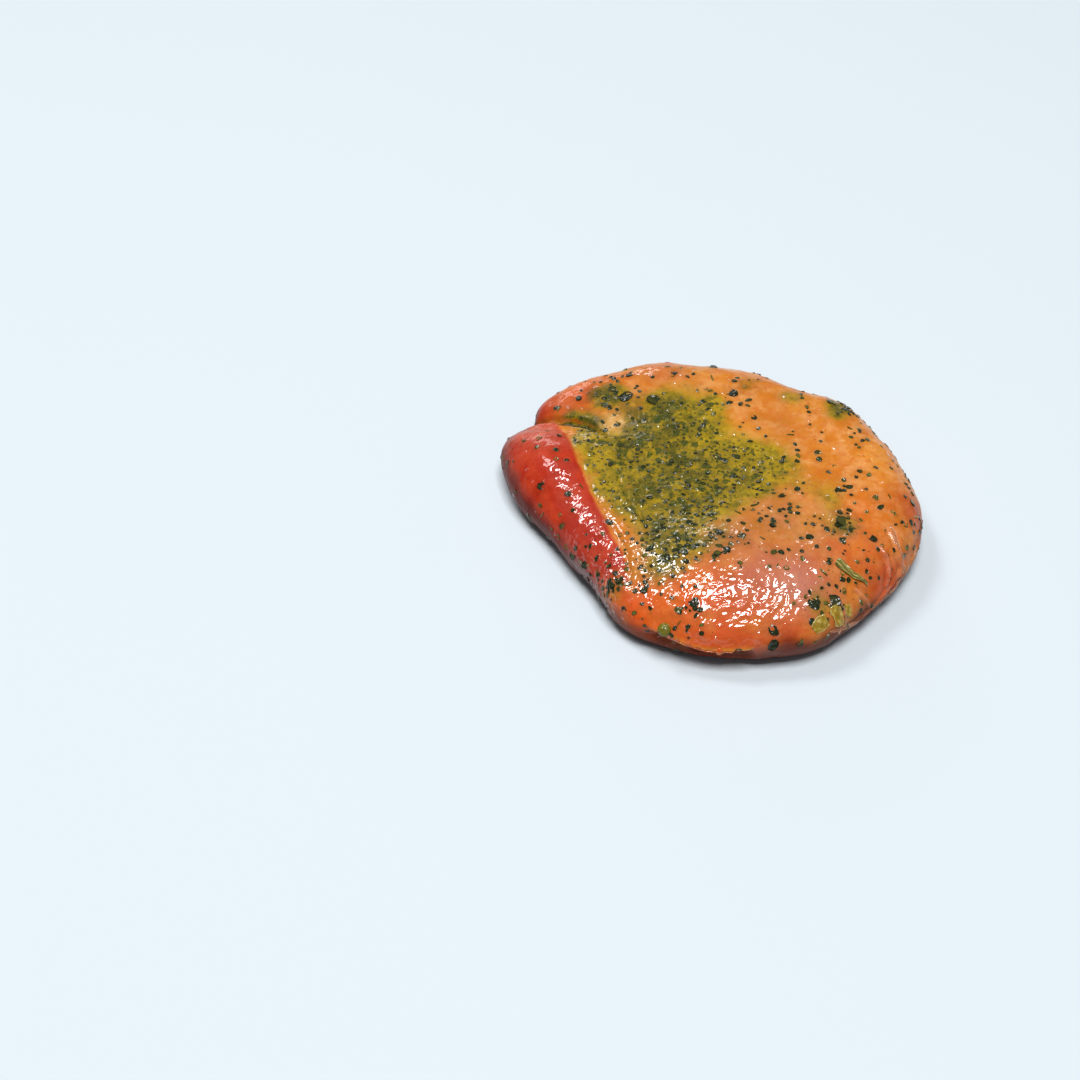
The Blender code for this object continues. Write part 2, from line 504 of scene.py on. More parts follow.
DEEP_POOL = [
    (-13, 24, 8, 1), (-21, 15, 8, 1), (-40, 28.5, 3.5, 1), (-35.5, 27, 3.5, 1),
    (-33, 24, 3.5, 0.9), (-7, 4, 8, 0.8), (7, 0, 7, 0.8), (-7, -9, 8, 0.9), (-18, -8, 8, 1),
    (-8, 11, 6, 0.8), (-24, 8, 5, 0.6), (-31, 37, 5, 0.9), (-14, -22, 6, 0.55), (41, 31, 3, 0.7),
    (35, -21, 4, 0.8), (-16, -37, 4.5, 0.5), (-14, -31, 5, 0.5), (-2, -28, 5, 0.5),
    (-27, 34, 4, 0.8), (-18, 26, 6, 0.9), (-8, 27, 5, 0.4), (14, 39, 4, 0.5), (25, 33, 4, 0.3),
    (39, 27, 4, 0.6),
]
YELLOW_OIL = [
    (1, 19, 7, 0.9), (-4, 30, 6, 0.6), (9, 11, 6, 0.8), (-27, 1, 6, 0.55), (-23, -12, 5, 0.5),
    (-12, -1, 5, 0.5), (17, 11, 6, 0.4),
]
BEADED = [
    (-12, -27, 12, 0.9), (2, -24, 10, 0.8), (-28, -14, 8, 0.6), (34, -21, 6, 0.9),
    (22, -30, 8, 0.6), (-8, -8, 12, 0.5), (-46, 42, 8, 0.5), (-27, -38, 6, 0.7), (27, -46, 5, 0.8),
]
THIN_OIL = [(-32, 26, 6, 1), (-23, 24, 6, 1), (-42, 27, 6, 1), (-50, 22, 7, 0.9)]
print(len(HERB_POOL) + len(DEEP_POOL) + len(YELLOW_OIL), "patches make the pool")

# %% Patches of meat
SALMON_MEAT = [
    (18, -18, 14, 0.85), (3, -27, 10, 0.8), (-8, 47, 12, 0.5), (30, 44, 10, 0.5), (22, 20, 8, 0.4),
]
ROSE_MEAT = [(6, -43, 12, 0.9), (22, -42, 10, 0.8), (46, -34, 11, 0.8), (57, -12, 9, 0.8)]
# Partly painted glare: a pale pink where the softbox's haze veils the right of the front bulge, over meat
# that is paler pink there.
GLARE_PINK = [(20, -42, 7, 0.75), (9, -40, 6, 0.4)]
# Painted shade: patches where the dark brown of the shaded sides reaches higher, in the creases at the
# front right.
PAINTED_SHADE_EDGES = [(17, -57, 6, 0.9), (39, -44, 6, 1.1), (29, -51, 5, 0.8)]
EMBER = [
    (-3, -56, 12, 0.95), (-22, -47, 10, 0.9), (16, -57, 9, 0.8), (40, -16, 8, 0.3),
    (34, -30, 7, 0.4), (0, -53, 13, 0.8), (44, -35, 7, 0.7), (-34, 39, 7, 0.8), (-30, 34, 6, 0.7),
    (-12, 46, 6, 0.35), (-26, -21, 6, 0.3), (-6, -50, 7, 0.5),
]
print(len(EMBER), "patches of ember-red oil")

# %% Parts of the meat
body = points_of(meat)
x, y, z = body.T
facing = normals_of(meat)
lines = measure_lines()
upper = ramp(z, 5.0, 12.0)
uneven = rough(body, 7.0, 3, seed=41.0)
fine = rough(body, 2.2, 3, seed=43.0)
fat_gap, fat_side, fat_along = lines["fat"]
inner_gap, _, inner_along = lines["inner"]
cleft_gap, cleft_side, _ = lines["cleft"]
lip_gap, _, lip_along = lines["lip"]

left_of_seam = fat_gap * np.where(fat_side < 0, 1.0, -1.0)
before_cleft = cleft_gap * np.where(cleft_side < 0, 1.0, -1.0)
lobe = ramp(left_of_seam + 0.8 * uneven, -0.4, 1.2) * ramp(before_cleft + 0.8 * uneven, -0.5, 1.0)
lobe *= ramp(y + 3.0 * uneven, -47.0, -33.0)
back_lobe = ramp(-before_cleft, 0.0, 2.0) * bell(np.hypot(x + 50, y - 36), 12.0)
folds = np.zeros(len(body))
for gap, _, along in lines["folds"]:
    folds = np.maximum(folds, bell(gap + 0.4 * fine, 0.7) * fade_ends(along, 0.1))
ragged = 1.0 + 0.35 * uneven + 0.15 * fine
facing_up = ramp(facing[:, 2], 0.2, 0.6)

fat_width = 0.9 + 3.0 * ramp(fat_along, 0.4, 0.75)
fat = 0.8 * bell(fat_gap - 0.4 + 0.4 * uneven, fat_width) * (fat_side > 0) * fade_ends(fat_along, 0.08)
fat += 0.8 * bell(inner_gap + 0.3 * fine, 0.8) * fade_ends(inner_along, 0.15)
# Painted shade reaches up to this height in mm. It reaches higher on the left side as painted shadow, and
# also at the front and in the front-right creases.
painted_shade_up_to = 8.5 + 4.5 * ramp(-x, 16.0, 34.0) + 3.0 * ramp(-x, 46.0, 56.0)
painted_shade_up_to += 1.5 * ramp(-y, 46.0, 54.0)
painted_shade_up_to += 5.0 * patches(body, PAINTED_SHADE_EDGES)
sheen = folds + 0.8 * bell(np.hypot(x + 49, y - 23), 9.0) * lobe
film = (0.25 + 0.75 * ramp(wrinkled, 0.05, 0.45)) * (
    1.0 - 0.8 * ramp(0.72 - facing[:, 2], 0.0, 0.4) * (1.0 - 0.8 * wrinkled)
)
print("the red lobe covers", int((lobe > 0.5).sum()), "points")

# %% Masks
masks = {
    "lean": np.clip(lobe + 0.95 * back_lobe, 0.0, 1.0),
    "salmon": np.clip(patches(body, SALMON_MEAT) * (1.0 + 0.5 * uneven), 0.0, 1.0),
    "ember": np.clip(patches(body, EMBER) * (1.0 + 0.5 * uneven), 0.0, 1.0),
    "pool": np.clip((patches(body, HERB_POOL) * ragged - 0.15) / 0.75, 0.0, 1.0)
    * facing_up * (1.0 - 0.9 * lobe) * (1.0 - 0.6 * back_lobe),
    "deep_pool": np.clip(patches(body, DEEP_POOL) * ragged, 0.0, 1.0) * facing_up * (1.0 - 0.9 * lobe),
    "yellow": np.clip(patches(body, YELLOW_OIL) * ragged, 0.0, 1.0) * (1.0 - lobe),
    "fat": np.clip(fat, 0.0, 1.0) * upper,
    "pale_fat": bell(np.hypot(x + 27, y - 24) + 1.2 * fine, 3.0),
    # Painted shade: a dark brown on the lower sides and in creases, fading upwards.
    "low": ramp(painted_shade_up_to - z + 1.2 * uneven, 0.0, 6.0),
    "silver": np.clip(sheen, 0.0, 1.0),
    "rose": np.clip(patches(body, ROSE_MEAT) * (1.0 + 0.4 * uneven), 0.0, 1.0),
    # Partly painted glare: the pale pink haze on the right of the front bulge.
    "glare_pink": patches(body, GLARE_PINK),
    "wrinkled": wrinkled,
    "film": film * (1.0 - 0.9 * patches(body, THIN_OIL)),
    "beaded": patches(body, BEADED),
    # Painted light: a bright line where the thin front edge catches the light.
    "lip": bell(lip_gap + 0.2 * fine, 0.7) * fade_ends(lip_along, 0.12),
}
for name, values in masks.items():
    print(f"mask {name}: covers {100 * (values > 0.5).mean():.0f} % of the points")

# %% [markdown]
# ## Where the herbs lie
#
# Chopped herbs float in the oil, so they gather in the pool and in the hollow by the seam, and
# lie thinly everywhere else. `sow` draws their places from a number per square centimetre,
# with a fixed seed, and keeps them a little apart. It also picks a size, a turn and a shade
# for each, because no two chopped bits are alike. The large torn leaves catch the eye, so each
# has its own place: x, y, z and size in mm.

# %% Density and places
THICK_SPOTS = [
    (-31, -29, 6, 0.8), (-28, -38, 4, 0.7), (-21, -40, 4, 0.7), (-19, -27, 7, 1),
    (-5, -22, 10, 0.8), (12, -10, 12, 0.45), (33, -22, 6, 1), (26, -46, 4, 1), (42, 31, 5, 0.8),
    (-29, 36, 8, 0.7), (38, -30, 8, 0.4), (-27, 2, 6, 0.5), (-12, -33, 6, 1), (-3, -31, 6, 0.9),
    (6, -28, 5, 0.6), (-9, -48, 4, 0.8),
]
BIG_LEAVES = [
    (-58, 12, 12, 1.8), (-49, 11, 19, 1.6), (-44, 9, 20, 1.7), (-48, -2, 16, 2.3),
    (-42, -15, 13, 1.9), (-39, -23, 10, 2.6), (-36, -28, 11, 2.4), (-15, 32, 19, 3.9),
    (-8, 44, 20, 2.3), (4, 50, 17, 2.2), (8, 35, 19, 3.5), (38, 32, 18, 3.6), (43, 28, 17, 2.2),
    (31, 8, 19, 2.2), (35, -8, 19, 2.4), (38, -6, 19, 1.9), (42, -25, 18, 2.5), (45, -10, 19, 2.0),
    (58, -11, 13, 2.1), (29, -45.7, 15, 4.0), (24, -47.5, 16, 3.2), (13, -54, 13, 2.7),
    (13, -56, 9.6, 3.0), (4, -57, 8.6, 2.2), (20, -55.4, 9, 1.8), (0, -26, 21, 2.4),
    (-20, -50, 8, 1.6), (-26, -45, 11, 1.9), (-27, -37, 15, 2.6), (-29, -38, 13, 2.0),
    (-21, -41, 15, 2.5), (35, -20, 19, 3.7), (33, -21, 19, 2.2), (37, -22, 19, 2.0),
    (-23, 34, 19, 4.0), (-30, 31, 18, 2.6), (-27, 38, 18, 2.4), (-6, -31, 21, 2.0),
    (3, -31, 21, 1.8), (-12, -34, 20, 2.2), (-25, 12, 18, 2.2), (20, 5, 19, 2.1), (14, 24, 19, 1.9),
    (-15, -34, 19.5, 2.6), (-2, -27, 21, 2.2), (1, -32.5, 21.7, 2.6), (-1.5, -35.5, 21.4, 2.2),
    (-8, -48, 17, 2.4), (-11.5, -49, 15.5, 2.2), (6, -28, 21.5, 2.2), (14, -33, 21, 1.8),
]
CLUMPS = [
    (34, -21, 3.5, 1), (41, 31, 3, 0.8), (-27, -37, 2.5, 0.9), (-12, -33, 4, 0.7),
    (-18, -26, 4, 0.7), (35, -9, 3, 0.7), (-21, -41, 2.5, 0.8), (-15, -34.5, 3, 1),
    (-2, -26, 2.5, 1), (1, -33, 2.5, 1), (6, -28, 2, 0.8), (-9, -25, 2.5, 0.9),
    (-9, -48, 2.5, 0.7), (-30, 35, 3, 0.8), (14.5, -20, 2.5, 0.5),
]
BARE_BULGE = [(3, -47, 13, 1)]
LOWEST_HERB = 2.0
LEAF_ENLARGED = 1.15
AREA_PER_POINT = (VOXEL / 10.0) ** 2
draw = np.random.default_rng(734)
print(len(BIG_LEAVES), "leaves with their own place")


def sow(per_square_cm, size_range, spacing):
    """Draws places on the skin, as a list of (point number, size, turn, shade)."""
    chance = per_square_cm * AREA_PER_POINT * (z > LOWEST_HERB)
    chosen = np.flatnonzero(draw.random(len(body)) < chance)
    draw.shuffle(chosen)
    kept = []
    for point in chosen:
        if kept and np.linalg.norm(body[kept] - body[point], axis=1).min() < spacing:
            continue
        kept.append(int(point))
    low, high = size_range
    middle, width = math.sqrt(low * high), math.log(high / low) / 4.0
    sizes = np.clip(middle * np.exp(width * draw.standard_normal(len(kept))), low, high)
    return [(point, size, draw.random() * math.tau, draw.random()) for point, size in zip(kept, sizes)]


# %% Sow the herbs
pool_mask = masks["pool"]
thick = np.clip(patches(body, THICK_SPOTS), 0.0, 1.0)
sparse = 1.0 - 0.75 * patches(body, BARE_BULGE) - 0.5 * ramp(y, 8.0, 34.0)
toward_right = ramp(x, 5.0, 25.0) * ramp(y, -42.0, -30.0)
scattered = (2.4 + 0.8 * toward_right) * sparse
scattered *= 1.0 - 0.55 * masks["lean"]
scattered *= 1.0 - 0.5 * masks["ember"]
strays = sow(scattered + 5.0 * thick + 26.0 * patches(body, CLUMPS), (0.85, 2.4), 0.95)
crumbs = sow(18.0 * pool_mask**2 + 7.0 * thick, (0.55, 1.6), 0.65)
dust = sow(1.5 * sparse + 34.0 * pool_mask + 12.0 * thick, (0.26, 0.58), 0.32)
by_place = finder_of(body)
leaves = [
    (by_place.find(place)[1], LEAF_ENLARGED * size, draw.random() * math.tau, draw.random())
    for *place, size in BIG_LEAVES
]
crumbs += strays
print(len(crumbs), "crumbs,", len(dust), "specks and", len(leaves), "leaves")

# %% [markdown]
# ## Oil round the herbs
#
# Oil creeps up round each herb, so the film stands in a low dome over it, and its green leaks a
# little into the orange. The domes are real shape; the leak is one more mask.

# %% Domes and stains
DOME_HEIGHT = 0.17

flakes = finder_of([body[point] for point, *_ in crumbs + leaves])
flake_sizes = [size for _, size, *_ in crumbs + leaves]
reach = np.empty(len(body))
for number, place in enumerate(body):
    _, index, distance = flakes.find(place)
    reach[number] = distance / flake_sizes[index]
stain = bell(reach, 0.95)
domes = DOME_HEIGHT * bell(reach, 0.75) * ramp(z, 1.0, 3.0)
body += facing * domes[:, None]
move_points(meat, body)
masks["stain"] = stain
for name, values in masks.items():
    paint(meat, name, values)
print("stained points:", int((stain > 0.5).sum()))

# %% [markdown]
# ## Material: marinated raw pork
#
# Raw pork is translucent: light enters, scatters a millimetre or so and comes out redder,
# which is subsurface scattering. The marinade is oil with paprika, so it tints the meat
# orange and makes a clear, smooth film on top, which is the shader's coat. Under oil the meat
# itself hardly reflects, since oil and wet meat bend light alike, so the base has almost no
# gloss of its own. The film's bump is its own, and smooth, so that its highlights stay sharp.

# %% The meat's material
def marinated_pork():
    """Raw pork in paprika oil: translucent, orange to red, under a clear wet film."""
    material, tree, shader = new_material(
        "marinated_raw_pork", Roughness=0.4, IOR=1.40, Specular_IOR_Level=0.13,
        Subsurface_Weight=0.18, Subsurface_Radius=(1.0, 0.35, 0.12), Subsurface_Scale=1.4 * MM,
        Coat_Roughness=0.035, Coat_IOR=1.75,
    )
    place = add(tree, "TexCoord").outputs["Object"]
    mask = {name: add(tree, "Attribute", {"attribute_name": name}).outputs["Fac"] for name in masks}

    def mottle(size_mm, low, high, least=0.0, most=1.0, detail=3.0, roughness=0.55, warp=0.0, where=place):
        """Soft patches: a noise of a real size, whose middle values are spread out."""
        patchy = add(
            tree, "TexNoise", Vector=where, Scale=1.0 / (size_mm * MM), Detail=detail,
            Roughness=roughness, Distortion=warp,
        )
        return add(tree, "MapRange", SMOOTH, Value=patchy, _1=low, _2=high, _3=least, _4=most)

    def hairlines(size_mm, wide, warp):
        """Thin winding lines: the places where a noise is close to its middle value."""
        wavy = add(tree, "TexNoise", Vector=place, Scale=1.0 / (size_mm * MM), Detail=1.0, Distortion=warp)
        off = add(tree, "Math", MINUS, _0=wavy, _1=0.5)
        off = add(tree, "Math", {"operation": "ABSOLUTE"}, _0=off)
        return add(tree, "MapRange", SMOOTH, Value=off, _1=0.3 * wide, _2=wide, _3=1.0, _4=0.0)

    def cells(size_mm, wander_mm):
        """How far each place is from the middle of its cell, and the cell's own chance number."""
        drift = add(tree, "TexNoise", Vector=place, Scale=1.0 / (0.8 * size_mm * MM), Detail=1.0)
        shift = add(
            tree, "VectorMath", TIMES_PLUS, _0=drift.outputs["Color"], _1=(wander_mm * MM,) * 3, _2=place
        )
        pattern = add(tree, "TexVoronoi", Vector=shift, Scale=1.0 / (size_mm * MM))
        return pattern, add(tree, "SeparateColor", Color=pattern.outputs["Color"])

    # The oil's orange drifts between a deeper and a paler tone over a centimetre or two.
    oil = layer(tree, "#b66716", "#c47a28", mottle(14.0, 0.35, 0.65))
    oil = layer(tree, oil, "#cb8c50", mottle(4.5, 0.42, 0.68, 0.0, 0.7))
    oil = layer(tree, oil, "#b45c1c", mottle(2.4, 0.47, 0.66, 0.0, 0.5))
    oil = layer(tree, oil, "#dcae70", hairlines(3.0, 0.02, 1.2), mottle(7.0, 0.5, 0.65, 0.0, 0.4))

    # Then the parts of the meat and its edges: each is a mottle of two tones, or one plain tone. The dark
    # brown #4e1001 is painted shade on the lower sides and in the creases.
    salmon = layer(tree, "#94602a", "#aa6a42", mottle(4.0, 0.35, 0.65, detail=4.0))
    rose = layer(tree, "#9e3b18", "#ae5030", mottle(5.0, 0.35, 0.65, detail=4.0))
    lean = layer(tree, "#9c2008", "#ad3417", mottle(6.0, 0.35, 0.68, detail=4.0, warp=0.6))
    fat = layer(tree, "#a85a08", "#b06a0c", mottle(1.8, 0.4, 0.6))
    across_folds = add(
        tree, "Mapping", {"vector_type": "TEXTURE"}, Vector=place,
        Rotation=(0.0, 0.0, math.radians(60.0)), Scale=(10.0, 1.0, 1.0),
    )
    milky = mottle(0.6, 0.36, 0.72, 0.15, 0.7, detail=2.0, roughness=0.5, warp=0.3, where=across_folds)
    colour = oil
    for tone, part, share in (
        ("#cc4601", "ember", 0.85), (salmon, "salmon", 0.8), (rose, "rose", 0.85),
        # The pale pink #b2725e is partly painted glare on the front bulge.
        ("#b2725e", "glare_pink", 1.0), (lean, "lean", 1.0), ("#4e1001", "low", 0.85),
        ("#c48a70", "silver", milky), (fat, "fat", 0.85), ("#a97f0c", "yellow", 0.7),
    ):
        colour = layer(tree, colour, tone, mask[part], share)

    # The pool is green-gold oil. Sunken leaves show in it as soft dark bits between threads.
    gold = layer(tree, "#967f0d", "#70650d", mottle(2.6, 0.38, 0.62))
    pool = mask["pool"]
    colour = layer(tree, colour, gold, add(tree, "MapRange", SMOOTH, Value=pool, _1=0.0, _2=0.6, _4=0.88))
    smear = mottle(4.4, 0.41, 0.55, 0.3, warp=0.5)
    colour = layer(tree, colour, "#29330d", smear, mask["deep_pool"], 0.92)
    for size_mm, wander_mm, share in ((2.7, 1.6, 0.92), (1.3, 0.8, 0.88)):
        distance, chance = cells(size_mm, wander_mm)
        leaf = layer(tree, "#141b07", "#354013", chance)
        reach = add(tree, "MapRange", SMOOTH, Value=chance, _1=0.25, _2=1.0, _3=0.05, _4=0.5)
        edge = add(tree, "Math", MINUS, _0=distance, _1=reach)
        sunk = add(tree, "MapRange", SMOOTH, Value=edge, _1=-0.08, _2=0.1, _3=1.0, _4=0.0)
        inside = add(tree, "MapRange", SMOOTH, Value=pool, _1=0.25, _2=0.85)
        colour = layer(tree, colour, leaf, sunk, inside, share)
    between = add(tree, "MapRange", SMOOTH, Value=pool, _1=0.1, _2=0.7, _4=0.25)
    colour = layer(tree, colour, "#b09a30", hairlines(1.9, 0.03, 1.0), between)

    # Last come the pale spot by the cleft, the green stain round each herb and the front lip. The lip's
    # bright orange line is painted light, where the thin edge of the skin catches the light.
    pale = layer(tree, "#d49a54", "#e8c898", hairlines(1.2, 0.05, 0.8))
    for tone, part, share in ((pale, "pale_fat", 0.8), ("#4c3608", "stain", 0.22), ("#d08a10", "lip", 1.0)):
        colour = layer(tree, colour, tone, mask[part], share)

    grain = add(tree, "TexNoise", Vector=place, Scale=1.0 / (0.8 * MM), Detail=3.0)
    dents = add(tree, "TexNoise", Vector=place, Scale=1.0 / (3.2 * MM), Detail=2.0, Roughness=0.55)
    rough_meat = add(tree, "Math", TIMES_PLUS, _0=dents, _1=4.0, _2=grain)
    meat_bump = add(tree, "Bump", Distance=0.08 * MM, Height=rough_meat)

    # A warped noise makes long swirling ridges in the film, and a finer one roughens them.
    turned = add(
        tree, "Mapping", {"vector_type": "TEXTURE"}, Vector=place,
        Rotation=(0.0, 0.0, math.radians(35.0)), Scale=(4.3 / 2.7, 1.0, 1.0),
    )
    ridges = add(tree, "TexNoise", Vector=turned, Scale=1.0 / (2.7 * MM), Detail=0.0, Distortion=1.8)
    ripples = add(tree, "TexNoise", Vector=place, Scale=1.0 / (1.2 * MM), Detail=0.0)
    film = add(tree, "Math", TIMES_PLUS, _0=ripples, _1=0.13, _2=ridges)
    crinkled = add(tree, "MapRange", SMOOTH, Value=mask["wrinkled"], _1=0.0, _2=0.7, _3=0.12)
    film = add(tree, "Math", TIMES, _0=film, _1=crinkled)

    # Where the oil is thin it gathers in small beads, and each bead mirrors the softbox as a dot.
    distance, chance = cells(2.0, 0.4)
    crowd = add(tree, "Math", TIMES_PLUS, _0=mask["beaded"], _1=0.6, _2=chance)
    drop = add(tree, "MapRange", SMOOTH, Value=distance, _1=0.03, _2=0.36, _3=1.0, _4=0.0)
    chosen = add(tree, "MapRange", SMOOTH, Value=crowd, _1=0.88, _2=0.9)
    bead = add(tree, "Math", TIMES, _0=drop, _1=chosen)
    film = add(tree, "Math", TIMES_PLUS, _0=bead, _1=0.6, _2=film)
    film_bump = add(tree, "Bump", Distance=0.5 * MM, Height=film)
    bead_oil = add(tree, "MapRange", SMOOTH, Value=bead, _1=0.0, _2=0.2)
    wet = add(tree, "Math", {"operation": "MAXIMUM"}, _0=mask["film"], _1=bead_oil)

    connect(tree, shader, Base_Color=colour, Normal=meat_bump, Coat_Normal=film_bump, Coat_Weight=wet)
    return material


pork = marinated_pork()
meat.data.materials.clear()
meat.data.materials.append(pork)
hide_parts("pork_chop")
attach(meat, "root")
print("meat has", sum(len(face.vertices) - 2 for face in meat.data.polygons), "triangles")

# %% [markdown]
# ## Chopped herbs
#
# Parsley and chives are chopped into flat chips, slivers and dust. A few shapes of each kind
# are modelled once, by hand, and copied to the places that were sown. Each copy is pressed onto
# the skin: every point looks for the nearest place on the meat and keeps its own height over
# it, so no chip floats or digs in. All chips of one kind are then one piece.

# %% The chopped shapes
def extrude_up(height, scale):
    """Extrudes the selected face upwards by some millimetres and scales its outline."""
    bpy.ops.mesh.extrude_region_move(TRANSFORM_OT_translate={"value": (0.0, 0.0, height * MM)})
    bpy.ops.transform.resize(value=(scale, scale, 1.0))


def roughen(offset, seed):
    """Moves every point of the mesh a little at random and turns its faces outwards."""
    bpy.ops.mesh.select_all(action="SELECT")
    bpy.ops.transform.vertex_random(offset=offset * MM, uniform=1.0, normal=0.0, seed=seed)
    bpy.ops.mesh.normals_make_consistent(inside=False)
    leave_edit()


def take_shape():
    """Reads the active object's points (in mm) and faces, and removes the object."""
    shape = bpy.context.active_object
    found = points_of(shape), [tuple(face.vertices) for face in shape.data.polygons]
    bpy.data.objects.remove(shape)
    return found


def chip_shape(sides, seed, length=1.0, rise=0.22):
    """An irregular chip about 1 mm across: a low disc with a curled rim and a dished middle."""
    only()
    bpy.ops.mesh.primitive_circle_add(vertices=sides, radius=0.5 * MM, fill_type="NGON")
    edit_all()
    bpy.ops.transform.resize(value=(length**0.5, length**-0.5, 1.0))
    extrude_up(rise, 0.86)
    extrude_up(-0.05, 0.6)
    roughen(0.07, seed)
    return take_shape()


def speck_shape(seed):
    """A grain of herb dust: a ball of twenty faces, squeezed and roughened."""
    only()
    bpy.ops.mesh.primitive_ico_sphere_add(subdivisions=1, radius=0.5 * MM)
    edit_all()
    bpy.ops.transform.resize(value=(1.15, 0.8, 0.6))
    roughen(0.12, seed)
    return take_shape()


def leaf_shape(seed):
    """A torn bit of leaf, thin, with a raised, ragged edge."""
    only()
    bpy.ops.mesh.primitive_circle_add(vertices=11, radius=0.5 * MM, fill_type="NGON")
    edit_all()
    bpy.ops.transform.resize(value=(1.0, 0.7, 1.0))
    extrude_up(0.1, 1.08)
    bpy.ops.mesh.inset(thickness=0.12 * MM, depth=-0.04 * MM)
    roughen(0.06, seed)
    return take_shape()


chip_shapes = [
    chip_shape(9, 1, 1.1), chip_shape(8, 2, 1.5), chip_shape(7, 3, 1.25), chip_shape(10, 4, 1.8, 0.18),
    chip_shape(8, 11, 2.2, 0.18),
]
speck_shapes = [speck_shape(seed) for seed in (5, 6, 7)]
leaf_shapes = [leaf_shape(seed) for seed in (8, 9, 10)]
print("a chip has", len(chip_shapes[0][1]), "faces, a leaf", len(leaf_shapes[0][1]))

# %% Press the copies onto the meat
skin = BVHTree.FromPolygons(
    [Vector(place) for place in body], [tuple(face.vertices) for face in meat.data.polygons]
)


def press_on(name, shapes, places, material, height, sink):
    """Makes one piece of a copy of a shape at each sown place, pressed onto the skin."""
    corners, faces, shades, rims = [], [], [], []
    for number, (point, size, turn, shade) in enumerate(places):
        middle, up = Vector(body[point]), Vector(facing[point])
        across = up.orthogonal().normalized()
        ahead = across * math.cos(turn) + up.cross(across) * math.sin(turn)
        across = up.cross(ahead)
        tilt = 0.25 * math.sin(7.0 * turn)
        shape_points, shape_faces = shapes[number % len(shapes)]
        first = len(corners)
        for x, y, z in shape_points * size:
            spot, normal, _, _ = skin.find_nearest(middle + ahead * x + across * y)
            corners.append(spot + normal * (height * z + tilt * x - sink))
        faces.extend(tuple(first + corner for corner in face) for face in shape_faces)
        shades.extend([shade] * len(shape_points))
        out = np.hypot(*(shape_points[:, :2] / np.abs(shape_points[:, :2]).max(axis=0)).T)
        rims.extend(np.clip(2.0 * out - 1.0, 0.0, 1.0))
    mesh = bpy.data.meshes.new(name)
    mesh.from_pydata([corner * MM for corner in corners], [], faces)
    mesh.materials.append(material)
    piece = new_object(name, mesh)
    paint(piece, "shade", shades)
    paint(piece, "rim", rims)
    only(piece)
    bpy.ops.object.shade_smooth_by_angle(angle=math.radians(50.0))
    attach(piece, "root")
    print(name, "has", sum(len(face) - 2 for face in faces), "triangles")


# %% [markdown]
# Wet parsley is nearly black in the shade and deep green in the light. Its surface is a waxy
# leaf under oil, so it has a coat as well, and its own small bump keeps the glints short.

# %% The herbs' material
def wet_herb(name, dark, green, pale):
    """Chopped herb under oil: its green depends on the bit, with a paler vein here and there."""
    material, tree, shader = new_material(
        name, Roughness=0.5, IOR=1.42, Specular_IOR_Level=0.1,
        Coat_Weight=0.7, Coat_Roughness=0.07, Coat_IOR=1.5,
    )
    place = add(tree, "TexCoord").outputs["Object"]
    shade = add(tree, "Attribute", {"attribute_name": "shade"}).outputs["Fac"]
    rim = add(tree, "Attribute", {"attribute_name": "rim"}).outputs["Fac"]
    paleness = add(tree, "MapRange", SMOOTH, Value=shade, _1=0.5, _2=1.1)
    tone = layer(tree, green, pale, paleness)
    vein = add(tree, "TexNoise", Vector=place, Scale=1.0 / (0.5 * MM), Detail=2.0)
    veined = add(tree, "MapRange", SMOOTH, Value=vein, _1=0.52, _2=0.72, _4=0.4)
    tone = layer(tree, tone, pale, veined)
    tone = layer(tree, tone, dark, rim)
    bump = add(tree, "Bump", Strength=0.5, Distance=0.08 * MM, Height=vein)
    drop = add(tree, "TexNoise", Vector=place, Scale=1.0 / (0.9 * MM), Detail=0.0)
    wet = add(tree, "Bump", Distance=0.35 * MM, Height=drop)
    connect(tree, shader, Base_Color=tone, Normal=bump, Coat_Normal=wet)
    return material


parsley = wet_herb("wet_chopped_parsley", "#0a0d03", "#1c2609", "#5e5c1c")

# %% Scatter the herbs
press_on("herb_crumbs", chip_shapes, crumbs, parsley, 0.5, 0.03)
press_on("herb_dust", speck_shapes, dust, parsley, 0.4, 0.02)
press_on("herb_leaves", leaf_shapes, leaves, parsley, 0.6, 0.03)

# %% [markdown]
# ## Strips: leek, onion and silverskin
#
# A bit of leek, three scraps of onion, a leaf in the cleft, folds of silverskin and the thin
# skin at the front edge are all strips that cling to the meat. A strip starts as a flat grid.
# Its rows are carried to a line on the meat, each point is pressed onto the skin and lifted by
# its own height, and a Solidify and a Subdivision Surface then make it a thin, soft-edged sheet.

# %% A strip along a line
def on_skin(place):
    """The point of the skin under (x, y), or nearest to (x, y, z), and the direction it faces."""
    if len(place) == 2:
        found = skin.ray_cast(Vector((place[0], place[1], 60.0)), Vector((0.0, 0.0, -1.0)))
    else:
        found = skin.find_nearest(Vector(place))
    return found[0], found[1]


